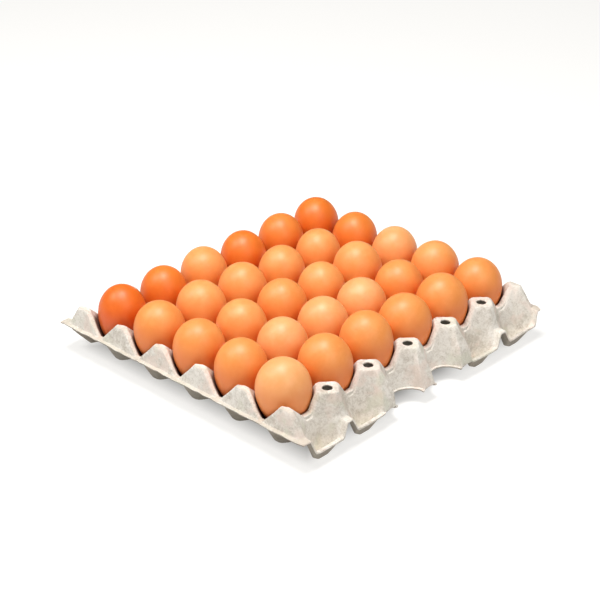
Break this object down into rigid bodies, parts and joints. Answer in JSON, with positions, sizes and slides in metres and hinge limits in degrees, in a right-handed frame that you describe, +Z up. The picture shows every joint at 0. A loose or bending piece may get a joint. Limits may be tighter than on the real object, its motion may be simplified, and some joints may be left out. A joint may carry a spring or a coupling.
{
  "type": "egg tray with eggs",
  "caption": "Open moulded-pulp egg tray full of brown hen's eggs, each standing blunt end up in its own cup between tall hollow posts, for carrying and stacking.",
  "frame": {"origin": "middle of the tray at the level of the small cup bottoms it stands on", "axes": "+Z up; X along the shorter rows of cups, towards the open half cups; Y along the longer rows, towards the straight flanges"},
  "size_m": [0.292, 0.3, 0.0733],
  "materials": {
    "moulded_pulp": "matte, fibrous",
    "brown_eggshell": "satin"
  },
  "bodies": {
    "root": {"pulp_tray": "moulded_pulp", "egg_1_1": "brown_eggshell", "egg_1_2": "brown_eggshell", "egg_1_3": "brown_eggshell", "egg_1_4": "brown_eggshell", "egg_1_5": "brown_eggshell", "egg_2_1": "brown_eggshell", "egg_2_2": "brown_eggshell", "egg_2_3": "brown_eggshell", "egg_2_4": "brown_eggshell", "egg_2_5": "brown_eggshell", "egg_3_1": "brown_eggshell", "egg_3_2": "brown_eggshell", "egg_3_3": "brown_eggshell", "egg_3_4": "brown_eggshell", "egg_3_5": "brown_eggshell", "egg_4_1": "brown_eggshell", "egg_4_2": "brown_eggshell", "egg_4_3": "brown_eggshell", "egg_4_4": "brown_eggshell", "egg_4_5": "brown_eggshell", "egg_5_1": "brown_eggshell", "egg_5_2": "brown_eggshell", "egg_5_3": "brown_eggshell", "egg_5_4": "brown_eggshell", "egg_5_5": "brown_eggshell", "egg_6_1": "brown_eggshell", "egg_6_2": "brown_eggshell", "egg_6_3": "brown_eggshell", "egg_6_4": "brown_eggshell", "egg_6_5": "brown_eggshell"}
  },
  "joints": []
}
